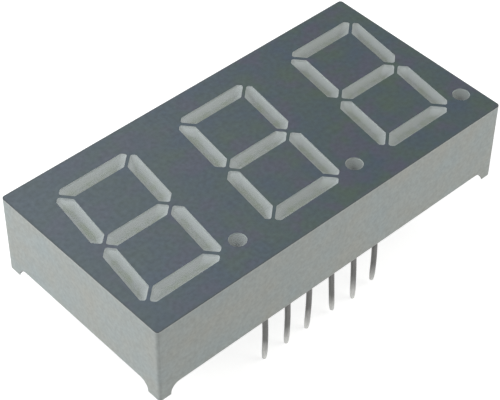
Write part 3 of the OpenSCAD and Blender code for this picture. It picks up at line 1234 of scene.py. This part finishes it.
@dataclass
class Moulding:
    """The reflector case: a rounded box with four corner feet, a recess behind and the wells' holes."""

    levels: Levels
    case_round: float = 0.3
    wall: float = 0.8
    recess_round: float = 1.0
    foot_l: float = 1.15
    foot_w: float = 1.4
    foot_h: float = 1.0
    foot_flare: float = 0.9
    foot_step: float = 0.002
    foot_slack: float = 1e-6
    edge_r: float = 0.07
    support: float = 0.06
    edge_steps: int = 4
    arc_steps: int = 8
    flare_steps: int = 10
    side_steps: int = 12
    half: np.ndarray = field(init=False)

    def __post_init__(self) -> None:
        """Reads the case's size from the frame."""
        low, high = box_mm("reflector_case")
        self.half = (high - low)[:2] / 2

    @property
    def recess_half(self) -> np.ndarray:
        """Half the recess's length and width."""
        return self.half - self.wall

    def foot_stations(self, foot: float, half_side: float) -> np.ndarray:
        """Gives distances from a side's end at which the case's ring has points.

        They are a small step before the foot's end, the foot's end, the flare at equal angles and
        then equal steps to the side's middle.

        Args:
            foot: the foot's length along the side.
            half_side: half the side's length.

        Returns:
            The distances, rising.
        """
        angle = np.linspace(0, math.pi / 2, self.flare_steps + 1)
        flare = foot + self.foot_flare * (1 - np.cos(angle))
        plain = np.linspace(foot + self.foot_flare, half_side, self.side_steps + 1)[1:]
        return np.concatenate([[foot - self.foot_step], flare, plain])

    def ring(self) -> np.ndarray:
        """Makes the case's outline: a quarter, then its mirror images in turn.

        Returns:
            The outline, anticlockwise from the middle of the right side.
        """
        angle = np.linspace(0, math.pi / 2, self.arc_steps + 1)
        centre = self.half - self.case_round
        arc = centre + self.case_round * np.column_stack([np.cos(angle), np.sin(angle)])
        short = self.foot_stations(self.foot_w, self.half[1])[::-1]
        long = self.foot_stations(self.foot_l, self.half[0])
        right = np.column_stack([np.full(len(short), self.half[0]), self.half[1] - short])
        top = np.column_stack([self.half[0] - long, np.full(len(long), self.half[1])])
        quarter = np.vstack([right, arc, top])
        left_top = (quarter * (-1, 1))[::-1][1:]
        left_low = -quarter[1:]
        right_low = (quarter * (1, -1))[::-1][1:-1]
        return np.vstack([quarter, left_top, left_low, right_low])

    def foot_profile(self, distance: np.ndarray, foot: float) -> np.ndarray:
        """Gives the height of the underside at a distance from a side's end.

        It is 0 under the foot. Then it follows a circle of the flare's radius, whose centre lies
        level with the foot's end of the flare, up to the rim.

        Args:
            distance: distances from the end of the side.
            foot: the foot's length along the side.

        Returns:
            The heights.
        """
        inward = np.clip(foot + self.foot_flare - distance, 0, self.foot_flare)
        curve = self.foot_h - self.foot_flare + np.sqrt(self.foot_flare**2 - inward**2)
        return np.where(distance < foot - self.foot_slack, 0.0, curve)

    def underside(self, points: np.ndarray) -> np.ndarray:
        """Gives the height of the case's underside at places in the plane.

        A foot is where two profiles cross, so the height is the larger of the two.

        Args:
            points: the places, with x and y last.

        Returns:
            The heights.
        """
        inside = self.half - np.abs(points)
        along = self.foot_profile(inside[..., 0], self.foot_l)
        across = self.foot_profile(inside[..., 1], self.foot_w)
        return np.maximum(along, across)

    def rings(self) -> tuple[np.ndarray, np.ndarray, np.ndarray]:
        """Gives the outlines of the case and of the recess behind it.

        Returns:
            The outer outline, the inner one, and at each point the direction between them.
        """
        outer = self.ring()
        inner = onto_plate(outer, self.recess_half, self.recess_round)
        return outer, inner, unit(inner - outer)

    def over_underside(self, rows: np.ndarray) -> np.ndarray:
        """Raises rings by the height of the underside where each of their points stands."""
        return np.dstack([rows[..., :2], rows[..., 2] + self.underside(rows[..., :2])])

    def rows(self) -> np.ndarray:
        """Lays the rings of the case's skin, from the recess over the rim to the face.

        Each rounded edge is a quarter round between two rings a short way past it, which keep the
        shading of the flats level.

        Returns:
            The points by row, place and axis.
        """
        outer, inner, inward = self.rings()
        into, down = quarter_round(self.edge_r, self.edge_steps)
        past = self.edge_r + self.support
        edge_in = np.concatenate([[0.0], into, [past]])
        edge_down = np.concatenate([[past], down, [0.0]])
        start = rows_of(inner, inward, np.zeros(1), np.array([self.levels.board_front]))
        recess = self.over_underside(rows_of(inner, inward, -edge_in, edge_down))
        wall = self.over_underside(rows_of(outer, inward, edge_in[::-1], edge_down[::-1]))
        face = rows_of(outer, inward, edge_in, self.levels.ink - edge_down)
        return np.concatenate([start, recess, wall, face])

    def edge_marks(self, points: np.ndarray) -> np.ndarray:
        """Marks the points on the rounded edges of the face, the rim and the recess.

        Args:
            points: the mesh's points.

        Returns:
            1 on an edge and 0 elsewhere.
        """
        reach = self.edge_r + self.support / 2
        inside = inset_of(points[:, :2], self.half, self.case_round)
        outer = inside < reach
        recess = np.abs(self.wall - inside) < reach
        at_face = self.levels.ink - points[:, 2] < reach
        at_rim = points[:, 2] - self.underside(points[:, :2]) < reach
        return (outer & at_face) | ((outer | recess) & at_rim)

    def build(self, plastic: bpy.types.Material, cutter: bpy.types.Object) -> None:
        """Makes the case and cuts the wells through it.

        Args:
            plastic: the case's material.
            cutter: the wells as one solid.
        """
        skin = Skin()
        skin.solid(self.rows())
        piece = skin.make("case", [plastic])
        cut_from(piece, cutter)
        mark_points(piece.data, self.edge_marks(points_of(piece.data)))
        finish_piece(piece, "case_plastic", "reflector_case")


@dataclass
class FaceInk:
    """The dark print on the face, with its openings over the wells."""

    case: Moulding
    edge_r: float = 0.02
    border: float = 0.22
    edge_steps: int = 3

    def build(self, cutter: bpy.types.Object) -> None:
        """Makes the print, with a ring a third of the way across its border, and cuts the wells.

        Args:
            cutter: the wells as one solid.
        """
        levels = self.case.levels
        ring, _, inward = self.case.rings()
        into, down = quarter_round(self.edge_r, self.edge_steps)
        inset = np.concatenate([[0.0], into, [self.border / 3, self.border]])
        height = np.concatenate([[levels.ink], levels.face - down, [levels.face, levels.face]])
        skin = Skin()
        skin.solid(rows_of(ring, inward, inset, height))
        piece = skin.make("face_ink", [FACE_INK.paint()])
        cut_from(piece, cutter)
        inside = inset_of(points_of(piece.data)[:, :2], self.case.half, self.case.case_round)
        mark_points(piece.data, np.clip(1 - inside / self.border, 0, 1))
        finish_piece(piece, "face_ink", "face_print")


@dataclass(frozen=True)
class Fill:
    """How milky resin stands in a well: how deep its bed lies, and how it rises to the walls."""

    depth: float
    rise: float
    side_run: float
    end_run: float

    def run(self, outline: np.ndarray) -> np.ndarray:
        """Gives the rise's run along x and y: the end run along an outline's longer way."""
        size = np.ptp(outline, axis=0)
        return np.where(size < size.max(), self.side_run, self.end_run)


@dataclass
class Windows:
    """The resin in the wells: a milky bed, and clear resin over it up to the face."""

    plan: DigitPlan
    levels: Levels
    below_face: float = 0.02
    bar_fill: Fill = Fill(depth=0.58, rise=0.38, side_run=0.5, end_run=1.0)
    point_fill: Fill = Fill(depth=0.62, rise=0.48, side_run=0.64, end_run=0.64)
    bite: float = 0.01
    dish: float = 0.015
    dish_run: float = 0.25
    steps: int = 7
    over: float = 0.5

    @property
    def shares(self) -> np.ndarray:
        """Equal steps from 0 at a wall to 1 at the end of the run from it."""
        return np.linspace(0, 1, self.steps + 1)

    def section(self, well: Well, height: float) -> np.ndarray:
        """Gives a well's outline at a height, in proportion between its floor and the face."""
        share = (height - self.levels.board_front) / (self.levels.face - self.levels.board_front)
        return well.floor + (well.face - well.floor) * min(max(share, 0.0), 1.0)

    def stack(self, outlines: list[np.ndarray], heights: np.ndarray, x: float) -> np.ndarray:
        """Sets outlines with equal numbers of points at their heights, about a digit's middle."""
        return lifted(np.stack(outlines) + (x, 0), heights)

    def cutter(self, plastic: bpy.types.Material) -> bpy.types.Object:
        """Makes the wells as one cutting solid, longer than they are deep.

        Args:
            plastic: the case's material, which the points' narrow wells keep.

        Returns:
            The cutter's object.
        """
        levels = self.levels
        heights = np.array([levels.board_front - self.over, levels.board_front, levels.face,
                            levels.face + self.over])
        skin = Skin()
        for x in levels.digit_x:
            for well in self.plan.wells():
                outlines = [well.floor, well.floor, well.face, well.face]
                skin.solid(self.stack(outlines, heights, x), slot=int(well.is_point))
        return skin.make("wells", [WELL_PLASTIC.paint(), plastic])

    def fill(self, well: Well) -> Fill:
        """How a well is filled."""
        return self.point_fill if well.is_point else self.bar_fill

    def milky_rows(self, well: Well, x: float) -> np.ndarray:
        """Lays the rings of the milky resin, which stands higher along the walls.

        At a share of the run from the wall, the resin stands over its bed by the rise times one
        less the sine of that share of a right angle.

        Args:
            well: which well.
            x: the digit's middle.

        Returns:
            Rows for a solid.
        """
        fill = self.fill(well)
        bed = self.levels.face - fill.depth
        lift = fill.rise * (1 - np.sin(self.shares * math.pi / 2))
        edge = self.section(well, bed + fill.rise)
        rings = [well.shrunk(edge, fill.run(edge) * share) for share in self.shares]
        heights = np.concatenate([[self.levels.board_front], bed + lift])
        return self.stack([well.floor, *rings], heights, x)

    def wall_marks(self, rows: np.ndarray) -> np.ndarray:
        """Marks the milky resin's points by how near they are to the wall: 1 there, 0 on the bed."""
        return np.repeat(np.concatenate([[1.0], 1 - self.shares]), rows.shape[1])

    def clear_rows(self, well: Well, x: float) -> np.ndarray:
        """Lays the rings of the clear resin, whose top is dished a little by its shrinkage.

        Args:
            well: which well.
            x: the digit's middle.

        Returns:
            Rows for a solid.
        """
        top = self.levels.face - self.below_face
        low = self.levels.face - self.fill(well).depth - self.bite
        edge = self.section(well, top)
        grown = [well.shrunk(self.section(well, height), -self.bite) for height in (low, top)]
        dished = [well.shrunk(edge, self.dish_run * share) for share in self.shares]
        heights = np.concatenate([[low, top], top - self.dish * np.sin(self.shares * math.pi / 2)])
        return self.stack([*grown, *dished], heights, x)

    def build(self) -> None:
        """Makes each window as a piece with a milky and a clear solid."""
        bar_resin, clear, point_resin = BAR_RESIN.paint(), CLEAR_RESIN.paint(), POINT_RESIN.paint()
        for number, x in enumerate(self.levels.digit_x, start=1):
            for well in self.plan.wells():
                milky = point_resin if well.is_point else bar_resin
                bed, cover = self.milky_rows(well, x), self.clear_rows(well, x)
                skin = Skin()
                skin.solid(bed, slot=0)
                skin.solid(cover, slot=1)
                piece = skin.make(f"resin_{number}_{well.label}", [milky, clear])
                mark_points(piece.data, np.concatenate([self.wall_marks(bed), np.zeros(cover[..., 0].size)]))
                finish_piece(piece, "window_resin", f"digit_{number}_{well.label}")


@dataclass
class PinRows:
    """The twelve pins, cut a little unevenly and bent a little in handling.

    For each pin, bends holds its shift near the root and at the tip, and how much shorter it was
    cut. Shifts run along sideways, and near_share says where on the pin the first is measured.
    """

    sideways: tuple[float, float] = (0.73, -0.68)
    near_share: float = 0.42
    bevel: float = 0.1
    bevel_in: float = 0.07
    tin: float = 0.01
    bite: float = 0.001
    tip_r: float = 0.17
    taper: float = 1.1
    around: int = 20
    along: int = 32
    bends: tuple[tuple[float, float, float], ...] = (
        (0.20, 0.18, 0.08), (0.18, 0.15, 0.06), (0.12, 0.02, 0.0), (0.14, 0.34, 0.42),
        (0.20, 0.31, 0.0), (0.17, 0.13, 0.5), (0.05, -0.1, 0.05), (0.0, 0.12, 0.0),
        (-0.06, 0.05, 0.1), (0.08, 0.0, 0.0), (-0.04, -0.12, 0.06), (0.06, 0.1, 0.0),
    )

    def rows(self, pin: int, potting: float) -> np.ndarray:
        """Lays the rings of a pin from its tip up.

        With t as the share of the way from the resin to the tip and n as the share near the root,
        the sideways shift is near * t(1 - t) / n(1 - n) + tip * t(t - n) / (1 - n). The radius
        falls over the taper to that of the tip by the square of the share of it that is left.

        Args:
            pin: the pin's number.
            potting: the height of the resin that the pin comes out of.

        Returns:
            Rows for a solid.
        """
        low, high = box_mm(f"pin_{pin}")
        near, tip, shorter = self.bends[pin - 1]
        middle = (low + high)[:2] / 2
        radius = (high - low)[0] / 2
        end = low[2] + shorter
        below = np.linspace(end + self.bevel, potting, self.along)
        heights = np.concatenate([[end], below, [potting + self.bite, high[2]]])
        left = np.clip(1 - (heights - end) / self.taper, 0, 1)
        radii = radius - (radius - self.tip_r) * left**2
        radii[0] -= self.bevel_in
        radii[-2:] -= self.tin
        t = np.clip((potting - heights) / (potting - end), 0, 1)
        n = self.near_share
        shift = near * t * (1 - t) / (n * (1 - n)) + tip * t * (t - n) / (1 - n)
        centres = middle + shift[:, None] * self.sideways
        flat = centres[:, None] + circle(1.0, self.around)[None] * radii[:, None, None]
        return lifted(flat, heights)

    def build(self, levels: Levels) -> None:
        """Makes the pins.

        Args:
            levels: the heights of the display's layers.
        """
        tin = TIN.paint()
        for pin in range(1, PINS + 1):
            skin = Skin()
            skin.solid(self.rows(pin, levels.potting))
            finish_piece(skin.make(f"tinned_pin_{pin}", [tin]), "tinned_pin", f"pin_{pin}")


@dataclass
class PottedBack:
    """The resin behind the board, which climbs the walls and the pins a little where it cured."""

    case: Moulding
    cell: float = 0.16
    climb: float = 0.1
    climb_run: float = 0.35
    collar: float = 0.16
    collar_run: float = 0.22
    wave: float = 0.012
    wave_turns: tuple[float, float] = (0.45, 0.6)
    wave_start: float = 1.0
    board_gap: float = 0.1
    outward: float = 1.001

    def surface(self) -> tuple[np.ndarray, np.ndarray]:
        """Works out the resin's free surface on a grid, and how near its points are to a wall or pin.

        The grid's corners are drawn into the recess's round corners: with u and v as shares of the
        radius, u becomes u times the root of one less half of v squared, and v likewise. The
        height falls from the flat by the climb times e to the power of less the distance from
        the wall over its run, and by the collar times the same for the nearest pin. The larger
        of the two powers is the nearness. A slow wave is added: the sine of x times its turn,
        times the cosine of y times its own.

        Returns:
            The points, by row, column and axis, and their nearness from 0 to 1.
        """
        half = self.case.recess_half
        radius = self.case.recess_round
        counts = np.round(2 * half / self.cell).astype(int) + 1
        x, y = (np.linspace(-side, side, count) for side, count in zip(half, counts))
        flat = np.stack(np.meshgrid(x, y), axis=-1)
        centres = np.clip(flat, radius - half, half - radius)
        share = (flat - centres) / radius
        flat = centres + radius * share * np.sqrt(1 - share[..., ::-1] ** 2 / 2)
        to_wall = inset_of(flat, half, radius)
        boxes = [box_mm(f"pin_{pin}") for pin in range(1, PINS + 1)]
        middles = np.array([(low + high)[:2] / 2 for low, high in boxes])
        reach = np.min(np.linalg.norm(flat[..., None, :] - middles, axis=-1), axis=-1)
        to_pin = np.maximum(reach - (boxes[0][1] - boxes[0][0])[0] / 2, 0)
        along, across = np.moveaxis(flat * self.wave_turns, -1, 0)
        wave = self.wave * np.sin(along + self.wave_start) * np.cos(across)
        at_wall = np.exp(-np.maximum(to_wall, 0) / self.climb_run)
        at_pin = np.exp(-to_pin / self.collar_run)
        height = self.case.levels.potting + wave - self.climb * at_wall - self.collar * at_pin
        return np.concatenate([flat, height[..., None]], axis=-1), np.maximum(at_wall, at_pin)

    def build(self) -> None:
        """Makes the resin: its free surface, its sides and the pocket that holds the board.

        The sides' rings follow the grid's rim. The pocket's are the nearest places on the board's
        outline, sought from a hair outward of the rim.
        """
        levels = self.case.levels
        points, nearness = self.surface()
        rows, columns = nearness.shape
        skin = Skin()
        first = skin.add_points(points.reshape(-1, 3))
        index = first + np.arange(rows * columns).reshape(rows, columns)
        quads = np.stack([index[:-1, :-1], index[1:, :-1], index[1:, 1:], index[:-1, 1:]], axis=-1)
        skin.add_faces(quads.reshape(-1, 4), 0)
        rim = np.concatenate([index[0, :-1], index[:-1, -1], index[-1, :0:-1], index[:0:-1, 0]])
        ring = points.reshape(-1, 3)[rim - first]
        inner = onto_plate(ring[:, :2] * self.outward, self.case.recess_half - self.board_gap,
                           self.case.recess_round - self.board_gap)
        heights = (levels.board_front, levels.board_front, levels.board_back)
        raised = [np.column_stack([flat, np.full(len(flat), height)])
                  for flat, height in zip((ring[:, :2], inner, inner), heights)]
        start = skin.add_points(np.concatenate(raised))
        loops = np.vstack([rim, start + np.arange(3 * len(rim)).reshape(3, -1)])
        ahead = np.roll(loops, -1, axis=1)
        sides = np.stack([loops[:-1], ahead[:-1], ahead[1:], loops[1:]], axis=-1)
        skin.add_faces(sides.reshape(-1, 4), 0)
        skin.add_faces(loops[-1:], 0)
        piece = skin.make("potted_back", [POTTING.paint()])
        mark_points(piece.data, np.concatenate([nearness.ravel(), np.ones(3 * len(rim))]))
        finish_piece(piece, "potting", "potting_resin")


@dataclass
class InnerWorks:
    """The hidden pieces, which keep their solids and get their own finishes."""

    def dress(self, node: str, material: bpy.types.Material) -> None:
        """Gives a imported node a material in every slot.

        Args:
            node: the node's name.
            material: its material.
        """
        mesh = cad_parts[node].data
        mesh.materials.clear()
        mesh.materials.append(material)
        LOG.info("%s: dressed in %s", node, material.name)

    def build(self) -> None:
        """Dresses the board, the copper, the solder, the dies and the bond wires."""
        self.dress("circuit_board", LAMINATE.paint())
        self.dress("copper_tracks", COPPER.paint())
        self.dress("solder_joints", SOLDER.paint())
        die, gold = DIE.paint(), GOLD.paint()
        for digit in range(1, DIGITS + 1):
            self.dress(f"digit_{digit}_dies", die)
            self.dress(f"digit_{digit}_bond_wires", gold)


def main() -> None:
    """Builds the camera, the studio and the display's sub-assemblies in order."""
    logging.basicConfig(level=logging.INFO, format="%(message)s")
    PhotoCamera().build()
    Studio().build()
    levels = Levels.from_frame()
    case = Moulding(levels)
    windows = Windows(DigitPlan(), levels)
    plastic = CASE_PLASTIC.paint()
    cutter = windows.cutter(plastic)
    case.build(plastic, cutter)
    FaceInk(case).build(cutter)
    bpy.data.objects.remove(cutter)
    windows.build()
    PinRows().build(levels)
    PottedBack(case).build()
    InnerWorks().build()


if __name__ == "__main__":
    main()
